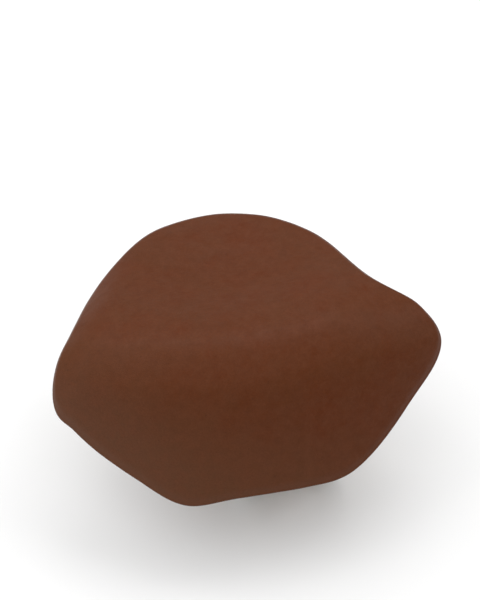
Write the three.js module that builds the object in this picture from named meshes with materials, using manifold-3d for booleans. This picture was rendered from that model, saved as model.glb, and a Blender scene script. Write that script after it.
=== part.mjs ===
// A side-mounted violin chin rest under a padded leather cover, held by a two-barrel clamp.
// Millimetres, +Z up. The origin is the centre of the upper cork's contact face, on the violin's
// top edge. +X runs along the edge towards the end button and +Y runs inwards over the belly.
import * as THREE from "three";
import { mergeVertices } from "three/addons/utils/BufferGeometryUtils.js";
import Module from "manifold-3d";

const wasm = await Module();
wasm.setup();

// Clearance between pieces that touch, and the span that cutting tools run past a face.
const GAP = 0.3;
const PAST = 1;

// The violin's edge, from the top plate's face to the back plate's face.
const EDGE_HEIGHT = 37;

// The crown is the outer surface of the leather. A soft ridge bows across it above the clamp. Behind
// the ridge it is a shallow dish that falls to the far edge, and in front it falls ever more steeply
// and hangs. Its loose edge curls down towards three azimuths, given anticlockwise from +X.
const RIDGE = { y: 3, x: -8, bowLeft: 0.0055, bowRight: 0.002, z: 30 };
const FAR = { slope: 0.2, round: 14 };
const DISH = { depth: 3, length: 60, x: -8, width: 34 };
const FRONT = { slope: 1.3, round: 17 };
const HANG = { slope: 1.25, round: 8, start: 13 };
const SIDES = { drop: 8, x: -10, flat: 18, span: 44 };
const CURLS = [
  { azimuth: 222, start: 40, strength: 0.04 },
  { azimuth: 146, start: 56, strength: 0.022 },
  { azimuth: 315, start: 33, strength: 0.02 },
];

// Outlines seen from above, anticlockwise, as points of a closed smooth curve.
const COVER_OUTLINE = [
  [50.5, -4.6], [46, 4.4], [34.6, 18.4], [24, 50], [-1, 68.8], [-24.5, 66.8], [-47, 50.8],
  [-63, 28.2], [-73.8, 11.3], [-69.2, 2.7], [-54.6, -12.8], [-40, -23.8], [-24, -27.6],
  [-3, -29.2], [14, -27.9], [34, -18.3],
];
const COVER_CENTRE = [-14, 18];
const PLATE_OUTLINE = [
  [39, 5], [30, 24], [19, 46], [3, 59], [-17, 59], [-38, 47], [-54, 30],
  [-64, 15], [-55, 5], [-34, -5], [-10, -9.5], [14, -10], [30, -9], [38, -4],
];
const PLATE_CENTRE = [-12, 20];
const SECTORS = 40;
const COVER_RINGS = 11;
const FOAM_RINGS = 10;
const PLATE_RINGS = 8;

// Layers of the cover, from the leather inwards. The foam thins to nothing near the edge.
const LEATHER_THICKNESS = 1.3;
const FOAM_THICKNESS = 3;
const FOAM_THINS = { from: 0.8, to: 0.97 };
const LINING_THICKNESS = 0.6;
const TAPE_THICKNESS = 0.8;
const TAPE_RADIUS = 10;
const TAPE_RINGS = 2;
const TAPE_SECTORS = 16;
const TAPE_PLACES = { left: [-38, 24], right: [14, 24], far: [-10, 46] };

// The carved wooden plate, and the foot under it that stands on the violin's edge.
const PLATE_THICKNESS = 7;
const PLATE_RIM_THICKNESS = 4;
const FOOT = { width: 64, front: -5.2, back: 5.5, corner: 3, rings: 3, intoPlate: 2 };

// Cork, clamp bars, studs, barrels and screws.
const UPPER_CORK = { width: 64, front: -5.5, back: 5.5, thickness: 2 };
const LOWER_CORK = { width: 41, front: -4.5, back: 6.5, thickness: 1.5 };
const CORK_CORNER = 3;
const BAR_WIDTH = 40;
const BAR_CORNER = 2;
const TAB_INSIDE = 12;
const UPPER_BAR = { thickness: 1.6, front: -11, back: 4.6 };
const LOWER_BAR = { thickness: 1.4, back: 6.2, bend: 2.8, boss: 2.8, bossBase: -35.5, bossTop: -31.2 };
const STUD_X = 16;
const STUD_Y = -8.2;
const STUD_RADIUS = 2;
const STUD_HEAD = { radius: 2.6, thickness: 1.2 };
const STUD_CHAMFER = 0.4;
const STUD_IN_BARREL = 6.5;
const BARREL = { radius: 3.1, length: 18, middle: -19, collar: 2.4, groove: 0.3, chamfer: 0.4 };
const KEY_HOLE = { radius: 1.1, offset: 1.2 };
const SCREW = { x: 8, y: 0.5, head: 2.7, shank: 1.3, coneHeight: 1.4, length: 11, point: 2 };
const ROUND_SEGMENTS = 16;

const COLOURS = {
  leather: 0x6b4230, suede: 0x8a6a52, foam: 0x3a3a3c, tape: 0x1d1b1a,
  wood: 0x2a1c16, cork: 0xb58a5c, nickel: 0xc9c7c2,
};

// --- Crown surface ---

function ridgeY(x) {
  const bow = x < RIDGE.x ? RIDGE.bowLeft : RIDGE.bowRight;
  return RIDGE.y + bow * (x - RIDGE.x) ** 2;
}

// A fall that starts level and eases into a steady slope over about its round distance.
const easedFall = (distance, { slope, round }) => slope * (Math.hypot(distance, round) - round);

function curlFall(x, y, { azimuth, start, strength }) {
  const turn = THREE.MathUtils.degToRad(azimuth);
  return strength * Math.max(x * Math.cos(turn) + y * Math.sin(turn) - start, 0) ** 2;
}

function crownZ(x, y) {
  const fromRidge = y - ridgeY(x);
  const behind = Math.max(fromRidge, 0);
  const ahead = Math.max(-fromRidge, 0);
  const hanging = Math.max(ahead - HANG.start, 0);
  const across = Math.exp(-(((x - DISH.x) / DISH.width) ** 2));
  const along = Math.sin(Math.PI * Math.min(behind / DISH.length, 1)) ** 2;
  const beside = Math.max(Math.abs(x - SIDES.x) - SIDES.flat, 0);
  const curled = CURLS.reduce((sum, curl) => sum + curlFall(x, y, curl), 0);
  return RIDGE.z
    - easedFall(behind, FAR)
    - DISH.depth * along * across
    - easedFall(ahead, FRONT)
    - easedFall(hanging, HANG)
    - SIDES.drop * (beside / SIDES.span) ** 2
    - curled;
}

function crownNormal(x, y) {
  const step = 0.01;
  const slopeX = (crownZ(x + step, y) - crownZ(x - step, y)) / (2 * step);
  const slopeY = (crownZ(x, y + step) - crownZ(x, y - step)) / (2 * step);
  return new THREE.Vector3(-slopeX, -slopeY, 1).normalize();
}

// The point this far under the crown, measured square to it.
function underCrown(x, y, depth) {
  return new THREE.Vector3(x, y, crownZ(x, y)).addScaledVector(crownNormal(x, y), -depth);
}

// --- Shapes ---

function closedOutline(points) {
  const corners = points.map(([x, y]) => new THREE.Vector3(x, y, 0));
  return new THREE.CatmullRomCurve3(corners, true, "centripetal").getPoints(SECTORS).slice(0, -1);
}

function circleOutline([x, y], radius, sectors) {
  return Array.from({ length: sectors }, (_, i) => {
    const turn = (2 * Math.PI * i) / sectors;
    return new THREE.Vector3(x + radius * Math.cos(turn), y + radius * Math.sin(turn), 0);
  });
}

// A closed body between two surfaces. Rings of points run from the centre out to the outline, and
// upper and lower place each one from its x, its y and its share of the way out.
function layerGeometry(outline, [cx, cy], rings, upper, lower) {
  const sectors = outline.length;
  const positions = [];
  for (const place of [upper, lower]) {
    positions.push(...place(cx, cy, 0));
    for (let ring = 1; ring <= rings; ring += 1) {
      const share = ring / rings;
      for (const p of outline) {
        positions.push(...place(cx + (p.x - cx) * share, cy + (p.y - cy) * share, share));
      }
    }
  }
  const below = 1 + rings * sectors;
  const at = (ring, sector) => 1 + (ring - 1) * sectors + (sector % sectors);
  const faces = [];
  const quad = (a, b, c, d) => faces.push(a, b, c, a, c, d);
  for (let s = 0; s < sectors; s += 1) {
    faces.push(0, at(1, s), at(1, s + 1), below, below + at(1, s + 1), below + at(1, s));
    for (let r = 1; r < rings; r += 1) {
      quad(at(r, s), at(r + 1, s), at(r + 1, s + 1), at(r, s + 1));
      quad(below + at(r, s), below + at(r, s + 1), below + at(r + 1, s + 1), below + at(r + 1, s));
    }
    quad(at(rings, s + 1), at(rings, s), below + at(rings, s), below + at(rings, s + 1));
  }
  const geometry = new THREE.BufferGeometry();
  geometry.setAttribute("position", new THREE.Float32BufferAttribute(positions, 3));
  geometry.setIndex(faces);
  return geometry;
}

function roundedRectangle(width, front, back, corner) {
  const half = width / 2;
  const shape = new THREE.Shape();
  shape.moveTo(-half + corner, front);
  shape.absarc(half - corner, front + corner, corner, -Math.PI / 2, 0);
  shape.absarc(half - corner, back - corner, corner, 0, Math.PI / 2);
  shape.absarc(-half + corner, back - corner, corner, Math.PI / 2, Math.PI);
  shape.absarc(-half + corner, front + corner, corner, Math.PI, 1.5 * Math.PI);
  return shape;
}

function slab(shape, base, thickness) {
  const geometry = new THREE.ExtrudeGeometry(shape, {
    depth: thickness, bevelEnabled: false, curveSegments: 5,
  });
  return geometry.translate(0, 0, base);
}

function block([x0, y0, z0], [x1, y1, z1]) {
  const geometry = new THREE.BoxGeometry(x1 - x0, y1 - y0, z1 - z0);
  return geometry.translate((x0 + x1) / 2, (y0 + y1) / 2, (z0 + z1) / 2);
}

// A turned shape about a vertical axis at x, y, from [radius, z] points that start and end on it.
function turned(profile, x, y) {
  const points = profile.map(([r, z]) => new THREE.Vector2(r, z));
  const geometry = new THREE.LatheGeometry(points, ROUND_SEGMENTS);
  return geometry.rotateX(Math.PI / 2).translate(x, y, 0);
}

function rod(x, y, base, top, radius) {
  return turned([[0, base], [radius, base], [radius, top], [0, top]], x, y);
}

// --- Cutting and joining ---

function solid(geometry) {
  const bare = geometry.clone();
  bare.deleteAttribute("normal");
  bare.deleteAttribute("uv");
  const merged = mergeVertices(bare, 1e-4);
  return new wasm.Manifold(new wasm.Mesh({
    numProp: 3,
    vertProperties: merged.attributes.position.array,
    triVerts: new Uint32Array(merged.index.array),
  }));
}

function geometryOf(body) {
  const { vertProperties, triVerts } = body.getMesh();
  const geometry = new THREE.BufferGeometry();
  geometry.setAttribute("position", new THREE.BufferAttribute(vertProperties, 3));
  geometry.setIndex(new THREE.BufferAttribute(triVerts, 1));
  return geometry;
}

const joined = (geometries) => geometryOf(
  geometries.map(solid).reduce((body, next) => body.add(next)),
);

const cut = (geometry, tools) => geometryOf(
  tools.map(solid).reduce((body, tool) => body.subtract(tool), solid(geometry)),
);

// --- Cover ---

const coverOutline = closedOutline(COVER_OUTLINE);
const foamDepth = LEATHER_THICKNESS + GAP;

function foamThickness(share) {
  const thinning = THREE.MathUtils.smoothstep(share, FOAM_THINS.from, FOAM_THINS.to);
  return FOAM_THICKNESS * (1 - thinning);
}

function leatherCover() {
  const upper = (x, y) => underCrown(x, y, 0);
  const lower = (x, y) => underCrown(x, y, LEATHER_THICKNESS);
  return layerGeometry(coverOutline, COVER_CENTRE, COVER_RINGS, upper, lower);
}

function foamPad() {
  const reach = FOAM_RINGS / COVER_RINGS;
  const [cx, cy] = COVER_CENTRE;
  const outline = coverOutline.map(
    (p) => new THREE.Vector3(cx + (p.x - cx) * reach, cy + (p.y - cy) * reach, 0),
  );
  const upper = (x, y) => underCrown(x, y, foamDepth);
  const lower = (x, y, share) => underCrown(x, y, foamDepth + foamThickness(share * reach));
  return layerGeometry(outline, COVER_CENTRE, FOAM_RINGS, upper, lower);
}

function suedeLining() {
  const depth = (share) => foamDepth + foamThickness(share) + GAP;
  const upper = (x, y, share) => underCrown(x, y, depth(share));
  const lower = (x, y, share) => underCrown(x, y, depth(share) + LINING_THICKNESS);
  return layerGeometry(coverOutline, COVER_CENTRE, COVER_RINGS, upper, lower);
}

// A round patch of fastening tape, with its outer face this far under the crown.
function tapePatch(place, depth) {
  const outline = circleOutline(place, TAPE_RADIUS, TAPE_SECTORS);
  const upper = (x, y) => underCrown(x, y, depth);
  const lower = (x, y) => underCrown(x, y, depth + TAPE_THICKNESS);
  return layerGeometry(outline, place, TAPE_RINGS, upper, lower);
}

const loopDepth = foamDepth + FOAM_THICKNESS + GAP + LINING_THICKNESS + GAP;
const hookDepth = loopDepth + TAPE_THICKNESS + GAP;
const plateDepth = hookDepth + TAPE_THICKNESS + GAP;

// --- Plate ---

// The plate's face runs parallel to the crown, so it is lowered by more where the crown is steep.
function plateFaceZ(x, y) {
  return crownZ(x, y) - plateDepth / crownNormal(x, y).z;
}

const footBase = UPPER_CORK.thickness + GAP;
const recessTop = footBase + UPPER_BAR.thickness + GAP;
const screwPlaces = { left: -SCREW.x, right: SCREW.x };
const studPlaces = { left: -STUD_X, right: STUD_X };

function chinPlate() {
  const upper = (x, y) => new THREE.Vector3(x, y, plateFaceZ(x, y));
  const lower = (x, y, share) => {
    const thickness = THREE.MathUtils.lerp(PLATE_THICKNESS, PLATE_RIM_THICKNESS, share ** 4);
    return new THREE.Vector3(x, y, plateFaceZ(x, y) - thickness);
  };
  const dish = layerGeometry(closedOutline(PLATE_OUTLINE), PLATE_CENTRE, PLATE_RINGS, upper, lower);
  const footShape = roundedRectangle(FOOT.width, FOOT.front, FOOT.back, FOOT.corner);
  const foot = layerGeometry(
    footShape.getSpacedPoints(SECTORS).slice(0, -1), [0, 0], FOOT.rings,
    (x, y) => new THREE.Vector3(x, y, plateFaceZ(x, y) - FOOT.intoPlate),
    (x, y) => new THREE.Vector3(x, y, footBase),
  );
  const barHalf = BAR_WIDTH / 2 + GAP;
  const recess = block(
    [-barHalf, FOOT.front - PAST, footBase - PAST],
    [barHalf, UPPER_BAR.back + GAP, recessTop],
  );
  const holes = Object.values(screwPlaces).map((x) => rod(
    x, SCREW.y, footBase, footBase + SCREW.length + 2 * GAP, SCREW.shank + GAP,
  ));
  return cut(joined([dish, foot]), [recess, ...holes]);
}

// --- Clamp ---

function corkStrip({ width, front, back, thickness }, base) {
  return slab(roundedRectangle(width, front, back, CORK_CORNER), base, thickness);
}

// Each clamp bar is open between its two tabs, so that only the tabs pass the violin's edge.
function betweenTabs(front, base, top) {
  return block([-TAB_INSIDE, front - PAST, base - PAST], [TAB_INSIDE, FOOT.front, top + PAST]);
}

function upperBar() {
  const { thickness, front, back } = UPPER_BAR;
  const top = footBase + thickness;
  const bar = slab(roundedRectangle(BAR_WIDTH, front, back, BAR_CORNER), footBase, thickness);
  const studHoles = Object.values(studPlaces).map(
    (x) => rod(x, STUD_Y, footBase - PAST, top + PAST, STUD_RADIUS + GAP),
  );
  const sinks = Object.values(screwPlaces).map((x) => turned([
    [0, footBase - PAST], [SCREW.head + GAP, footBase - PAST], [SCREW.head + GAP, footBase],
    [SCREW.shank + GAP, top], [SCREW.shank + GAP, top + PAST], [0, top + PAST],
  ], x, SCREW.y));
  return cut(bar, [betweenTabs(front, footBase, top), ...studHoles, ...sinks]);
}

function bracketScrew(x) {
  const base = footBase + GAP / 3;
  const neck = base + SCREW.coneHeight;
  const tip = base + SCREW.length;
  return turned([
    [0, base], [SCREW.head, base], [SCREW.shank, neck],
    [SCREW.shank, tip - SCREW.point], [0, tip],
  ], x, SCREW.y);
}

const barrelTop = BARREL.middle + BARREL.length / 2;
const barrelBase = BARREL.middle - BARREL.length / 2;

function upperStud(x) {
  const tip = barrelTop - STUD_IN_BARREL;
  const head = footBase + UPPER_BAR.thickness + GAP;
  return turned([
    [0, tip], [STUD_RADIUS - STUD_CHAMFER, tip], [STUD_RADIUS, tip + STUD_CHAMFER],
    [STUD_RADIUS, head], [STUD_HEAD.radius, head], [STUD_HEAD.radius, head + STUD_HEAD.thickness],
    [0, head + STUD_HEAD.thickness],
  ], x, STUD_Y);
}

function lowerStud(x) {
  const tip = barrelBase + STUD_IN_BARREL;
  const base = LOWER_BAR.bossBase + 2 * GAP;
  return turned([
    [0, base], [STUD_RADIUS, base], [STUD_RADIUS, tip - STUD_CHAMFER],
    [STUD_RADIUS - STUD_CHAMFER, tip], [0, tip],
  ], x, STUD_Y);
}

// A threaded sleeve with a thicker collar at each end and two crossed holes for the turning key.
function barrel(x) {
  const { radius, collar, groove, chamfer } = BARREL;
  const bore = STUD_RADIUS + GAP;
  const sleeve = turned([
    [bore, barrelBase], [radius - chamfer, barrelBase], [radius, barrelBase + chamfer],
    [radius, barrelBase + collar], [radius - groove, barrelBase + collar + groove],
    [radius - groove, barrelTop - collar - groove], [radius, barrelTop - collar],
    [radius, barrelTop - chamfer], [radius - chamfer, barrelTop], [bore, barrelTop],
    [bore, barrelBase],
  ], x, STUD_Y);
  const reach = radius + PAST;
  const hole = () => rod(0, 0, -reach, reach, KEY_HOLE.radius);
  const alongX = hole().rotateY(Math.PI / 2).translate(x, STUD_Y, BARREL.middle + KEY_HOLE.offset);
  const alongY = hole().rotateX(Math.PI / 2).translate(x, STUD_Y, BARREL.middle - KEY_HOLE.offset);
  return cut(sleeve, [alongX, alongY]);
}

const lowerCorkBase = -EDGE_HEIGHT - LOWER_CORK.thickness;
const lowerBarTop = lowerCorkBase - GAP;

// The bar's section: flat under the cork, then bent up to the studs outside the violin's ribs.
function lowerBarSection() {
  const { thickness, back, bend, bossBase } = LOWER_BAR;
  const outer = bend + thickness;
  const legFront = STUD_Y - thickness / 2;
  const bendY = legFront + outer;
  const bendZ = lowerBarTop - thickness + outer;
  const section = new THREE.Shape();
  section.moveTo(back, lowerBarTop - thickness);
  section.absarc(bendY, bendZ, outer, 1.5 * Math.PI, Math.PI, true);
  section.lineTo(legFront, bossBase + PAST);
  section.lineTo(legFront + thickness, bossBase + PAST);
  section.absarc(bendY, bendZ, bend, Math.PI, 1.5 * Math.PI);
  section.lineTo(back, lowerBarTop);
  return section;
}

function lowerBar() {
  const { boss, bossBase, bossTop, back } = LOWER_BAR;
  const bent = new THREE.ExtrudeGeometry(lowerBarSection(), {
    depth: BAR_WIDTH, bevelEnabled: false, curveSegments: 6,
  });
  bent.applyMatrix4(new THREE.Matrix4().makeBasis(
    new THREE.Vector3(0, 1, 0), new THREE.Vector3(0, 0, 1), new THREE.Vector3(1, 0, 0),
  )).translate(-BAR_WIDTH / 2, 0, 0);
  const bosses = Object.values(studPlaces).map((x) => rod(x, STUD_Y, bossBase, bossTop, boss));
  const sockets = Object.values(studPlaces).map(
    (x) => rod(x, STUD_Y, bossBase + GAP, bossTop + PAST, STUD_RADIUS + GAP),
  );
  const middle = betweenTabs(-back - boss, lowerBarTop - PAST, bossTop);
  return cut(joined([bent, ...bosses]), [middle, ...sockets]);
}

// --- Assembly ---

const root = new THREE.Group();

function add(name, geometry, colour, roughness, metalness = 0) {
  const material = new THREE.MeshStandardMaterial({ color: colour, roughness, metalness });
  const mesh = new THREE.Mesh(geometry, material);
  mesh.name = name;
  root.add(mesh);
}

const addNickel = (name, geometry) => add(name, geometry, COLOURS.nickel, 0.3, 1);

add("leather_cover", leatherCover(), COLOURS.leather, 0.55);
add("foam_pad", foamPad(), COLOURS.foam, 0.95);
add("suede_lining", suedeLining(), COLOURS.suede, 0.95);
add("chin_plate", chinPlate(), COLOURS.wood, 0.4);
for (const [side, place] of Object.entries(TAPE_PLACES)) {
  add(`loop_patch_${side}`, tapePatch(place, loopDepth), COLOURS.tape, 1);
  add(`hook_patch_${side}`, tapePatch(place, hookDepth), COLOURS.tape, 0.9);
}

add("upper_cork", corkStrip(UPPER_CORK, 0), COLOURS.cork, 0.9);
add("lower_cork", corkStrip(LOWER_CORK, lowerCorkBase), COLOURS.cork, 0.9);
addNickel("upper_clamp_bar", upperBar());
addNickel("lower_clamp_bar", lowerBar());
for (const [side, x] of Object.entries(studPlaces)) {
  addNickel(`upper_stud_${side}`, upperStud(x));
  addNickel(`barrel_${side}`, barrel(x));
  addNickel(`lower_stud_${side}`, lowerStud(x));
}
for (const [side, x] of Object.entries(screwPlaces)) {
  addNickel(`bar_screw_${side}`, bracketScrew(x));
}

export default root;
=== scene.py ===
"""Looks for a violin chin rest with a padded leather cover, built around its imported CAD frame.

Shapes are worked out in millimetres, in the frame of the CAD part, and turned into metres as each
mesh is made. X runs along the violin's edge, Y inwards over the belly and Z up.
"""
import math

import bmesh
import bpy
import numpy as np
from mathutils import Euler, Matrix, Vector, noise


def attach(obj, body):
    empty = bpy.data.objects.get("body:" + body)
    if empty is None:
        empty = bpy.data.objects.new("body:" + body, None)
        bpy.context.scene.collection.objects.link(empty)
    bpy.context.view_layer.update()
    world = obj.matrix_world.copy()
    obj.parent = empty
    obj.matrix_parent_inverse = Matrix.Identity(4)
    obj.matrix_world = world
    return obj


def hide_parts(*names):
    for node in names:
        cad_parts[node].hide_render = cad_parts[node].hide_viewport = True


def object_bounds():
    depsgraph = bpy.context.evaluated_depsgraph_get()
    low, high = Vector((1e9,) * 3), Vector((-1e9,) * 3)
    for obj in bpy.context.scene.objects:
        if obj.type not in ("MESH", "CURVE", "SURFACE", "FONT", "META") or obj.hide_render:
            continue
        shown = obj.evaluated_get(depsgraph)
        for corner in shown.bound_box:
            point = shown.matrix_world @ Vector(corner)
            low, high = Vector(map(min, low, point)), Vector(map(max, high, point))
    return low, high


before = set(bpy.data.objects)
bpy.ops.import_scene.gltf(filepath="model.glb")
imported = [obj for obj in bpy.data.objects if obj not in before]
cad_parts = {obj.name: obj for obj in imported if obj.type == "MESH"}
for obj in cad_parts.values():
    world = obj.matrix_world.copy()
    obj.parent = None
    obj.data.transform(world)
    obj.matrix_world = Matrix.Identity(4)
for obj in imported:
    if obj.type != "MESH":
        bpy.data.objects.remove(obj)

MM = 0.001
cad_low, cad_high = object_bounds()

# --- Camera: full-frame sensor, at the photograph's viewing angle ---

CAMERA_PLACE = (-0.1031, -0.2639, 0.3395)
CAMERA_TURN = (43.70, -0.80, -17.32)
CAMERA_LENS = 82.1
CAMERA_SENSOR = 36.0
CAMERA_NEAR = 0.01


def make_camera():
    data = bpy.data.cameras.new("camera")
    data.lens = CAMERA_LENS
    data.sensor_width = CAMERA_SENSOR
    data.clip_start = CAMERA_NEAR
    camera = bpy.data.objects.new("camera", data)
    camera.location = CAMERA_PLACE
    camera.rotation_euler = Euler([math.radians(a) for a in CAMERA_TURN])
    bpy.context.collection.objects.link(camera)
    bpy.context.scene.camera = camera


make_camera()

# --- The part's driving dimensions, in millimetres, as in its CAD ---

GAP = 0.3
# The crown. FAR, FRONT and HANG are falls, each with its steady slope and how softly it starts.
# A curl has the way it faces in degrees, how far out it starts, and its strength.
RIDGE_Y, RIDGE_X, BOW_LEFT, BOW_RIGHT, RIDGE_Z = 3, -8, 0.0055, 0.002, 30
FAR = (0.2, 14)
DISH_DEPTH, DISH_LENGTH, DISH_X, DISH_WIDTH = 3, 60, -8, 34
FRONT = (1.3, 17)
HANG, HANG_START = (1.25, 8), 13
SIDES_DROP, SIDES_X, SIDES_FLAT, SIDES_SPAN = 8, -10, 18, 44
CURLS = [(222, 40, 0.04), (146, 56, 0.022), (315, 33, 0.02)]

COVER_OUTLINE = [
    (50.5, -4.6), (46, 4.4), (34.6, 18.4), (24, 50), (-1, 68.8), (-24.5, 66.8), (-47, 50.8),
    (-63, 28.2), (-73.8, 11.3), (-69.2, 2.7), (-54.6, -12.8), (-40, -23.8), (-24, -27.6),
    (-3, -29.2), (14, -27.9), (34, -18.3),
]
COVER_CENTRE = (-14, 18)
PLATE_OUTLINE = [
    (39, 5), (30, 24), (19, 46), (3, 59), (-17, 59), (-38, 47), (-54, 30),
    (-64, 15), (-55, 5), (-34, -5), (-10, -9.5), (14, -10), (30, -9), (38, -4),
]
PLATE_CENTRE = (-12, 20)

LEATHER, FOAM, LINING, TAPE = 1.3, 3.0, 0.6, 0.8
FOAM_THINS_FROM, FOAM_THINS_TO = 0.8, 0.97
FOAM_REACH = 10 / 11
TAPE_RADIUS = 10
TAPE_PLACES = {"left": (-38, 24), "right": (14, 24), "far": (-10, 46)}
PLATE_THICKNESS, PLATE_RIM = 7, 4
FOOT_WIDTH, FOOT_FRONT, FOOT_BACK, FOOT_INTO_PLATE = 64, -5.2, 5.5, 2
CORKS = {
    "upper_cork": (64, -5.5, 5.5, 0.0, 2.0),
    "lower_cork": (41, -4.5, 6.5, -38.5, -37.0),
}
CORK_CORNER = 3
BAR_WIDTH, BAR_CORNER, TAB_INSIDE = 40, 2, 12
UPPER_BAR_FRONT, UPPER_BAR_BACK, UPPER_BAR = -11, 4.6, 1.6
LOWER_BAR, LOWER_BAR_BACK, LOWER_BAR_BEND = 1.4, 6.2, 2.8
BOSS_RADIUS, BOSS_BASE, BOSS_TOP = 2.8, -35.5, -31.2
STUDS = {"left": -16, "right": 16}
STUD_Y, STUD_RADIUS, STUD_IN_BARREL = -8.2, 2.0, 6.5
STUD_HEAD, STUD_HEAD_HEIGHT = 2.6, 1.2
BARREL_RADIUS, BARREL_LENGTH, BARREL_MIDDLE, BARREL_COLLAR = 3.1, 18, -19, 2.4
KEY_HOLE, KEY_HOLE_OFFSET = 1.1, 1.2
SCREWS = {"left": -8, "right": 8}
SCREW_Y, SCREW_HEAD, SCREW_SHANK, SCREW_CONE, SCREW_LENGTH = 0.5, 2.7, 1.3, 1.4, 11

foot_base = CORKS["upper_cork"][4] + GAP
upper_bar_top = foot_base + UPPER_BAR
lower_bar_top = CORKS["lower_cork"][3] - GAP
foam_depth = LEATHER + GAP
loop_depth = foam_depth + FOAM + GAP + LINING + GAP
hook_depth = loop_depth + TAPE + GAP
plate_depth = hook_depth + TAPE + GAP
barrel_top = BARREL_MIDDLE + BARREL_LENGTH / 2
barrel_base = BARREL_MIDDLE - BARREL_LENGTH / 2

# --- The crown: the leather's outer surface, as a height over x and y ---


def ridge_y(x):
    """Where the ridge runs. It bows backwards towards both ends."""
    return RIDGE_Y + np.where(x < RIDGE_X, BOW_LEFT, BOW_RIGHT) * (x - RIDGE_X) ** 2


def eased_fall(distance, slope, size):
    """A fall that starts level and eases into a steady slope."""
    return slope * (np.hypot(distance, size) - size)


def crown_z(x, y):
    from_ridge = y - ridge_y(x)
    behind = np.maximum(from_ridge, 0)
    ahead = np.maximum(-from_ridge, 0)
    hanging = np.maximum(ahead - HANG_START, 0)
    across = np.exp(-(((x - DISH_X) / DISH_WIDTH) ** 2))
    along = np.sin(np.pi * np.minimum(behind / DISH_LENGTH, 1)) ** 2
    beside = np.maximum(np.abs(x - SIDES_X) - SIDES_FLAT, 0)
    z = (RIDGE_Z - eased_fall(behind, *FAR) - DISH_DEPTH * along * across
         - eased_fall(ahead, *FRONT) - eased_fall(hanging, *HANG)
         - SIDES_DROP * (beside / SIDES_SPAN) ** 2)
    for azimuth, start, strength in CURLS:
        turn = math.radians(azimuth)
        z = z - strength * np.maximum(x * math.cos(turn) + y * math.sin(turn) - start, 0) ** 2
    return z


def crown_normal(x, y):
    step = 0.05
    slope_x = (crown_z(x + step, y) - crown_z(x - step, y)) / (2 * step)
    slope_y = (crown_z(x, y + step) - crown_z(x, y - step)) / (2 * step)
    normal = np.stack([-slope_x, -slope_y, np.ones_like(slope_x)], axis=-1)
    return normal / np.linalg.norm(normal, axis=-1, keepdims=True)


def under_crown(x, y, depth):
    """The points this far under the crown, measured square to it."""
    depth = np.broadcast_to(depth, np.shape(x))
    on = np.stack([x, y, crown_z(x, y)], axis=-1)
    return on - crown_normal(x, y) * depth[..., None]


def smooth(value, low, high):
    """Rises from 0 to 1 between low and high, level at both ends."""
    t = np.clip((value - low) / (high - low), 0, 1)
    return t * t * (3 - 2 * t)


def ripple(x, y, size, seed):
    """Soft noise from -1 to 1 over the plan, with bumps about this size."""
    flat = np.stack([np.ravel(x), np.ravel(y)], axis=-1)
    values = [noise.noise(Vector((a / size, b / size, seed))) for a, b in flat]
    return np.array(values).reshape(np.shape(x))


# --- Outlines ---


def closed_curve(corners, count):
    """Evenly numbered points of a closed centripetal Catmull-Rom curve through the corners."""
    p = np.array(corners, float)
    total = len(p)
    points = []
    for i in range(count):
        at = i * total / count
        k = int(at)
        t = at - k
        p0, p1, p2, p3 = (p[(k + j) % total] for j in (-1, 0, 1, 2))
        d0, d1, d2 = (math.sqrt(np.linalg.norm(b - a)) for a, b in ((p0, p1), (p1, p2), (p2, p3)))
        m1 = ((p1 - p0) / d0 - (p2 - p0) / (d0 + d1) + (p2 - p1) / d1) * d1
        m2 = ((p2 - p1) / d1 - (p3 - p1) / (d1 + d2) + (p3 - p2) / d2) * d1
        points.append(p1 + m1 * t + (3 * (p2 - p1) - 2 * m1 - m2) * t ** 2
                      + (2 * (p1 - p2) + m1 + m2) * t ** 3)
    return np.array(points)


def circle(x, y, radius, count):
    turn = np.linspace(0, 2 * np.pi, count, endpoint=False)
    return np.stack([x + radius * np.cos(turn), y + radius * np.sin(turn)], axis=-1)


def rounded_rectangle(width, front, back, corner, steps=8):
    """A rectangle centred on x, between two y values, with this many steps round each corner."""
    half = width / 2
    centres = [(half - corner, front + corner, -90), (half - corner, back - corner, 0),
               (-half + corner, back - corner, 90), (-half + corner, front + corner, 180)]
    points = []
    for cx, cy, start in centres:
        for i in range(steps + 1):
            turn = math.radians(start + 90 * i / steps)
            points.append((cx + corner * math.cos(turn), cy + corner * math.sin(turn)))
    return np.array(points)


# --- Meshes ---

RIM_BULGE = 0.22      # how far a layer's cut edge bulges
SLIVER_REACH = 0.001  # how near two points are taken for one
# A thread's points around, its rows of points a turn, and its depth as a share of the pitch.
THREAD_SEGMENTS, THREAD_ROWS, THREAD_DEPTH = 40, 8, 0.55
# Its flank runs between these shares of half a pitch.
THREAD_ROOT, THREAD_CREST = 0.08, 0.92
THREAD_BLUNT = 0.4    # a blunted end's radius, as a share of the rod's


def mesh_object(name, points, faces):
    """A smooth-shaded piece from points in millimetres."""
    mesh = bpy.data.meshes.new(name)
    mesh.from_pydata([tuple(p) for p in np.asarray(points, float) * MM], [], faces)
    mesh.update()
    piece = bpy.data.objects.new(name, mesh)
    bpy.context.collection.objects.link(piece)
    mesh.shade_smooth()
    return piece


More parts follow.
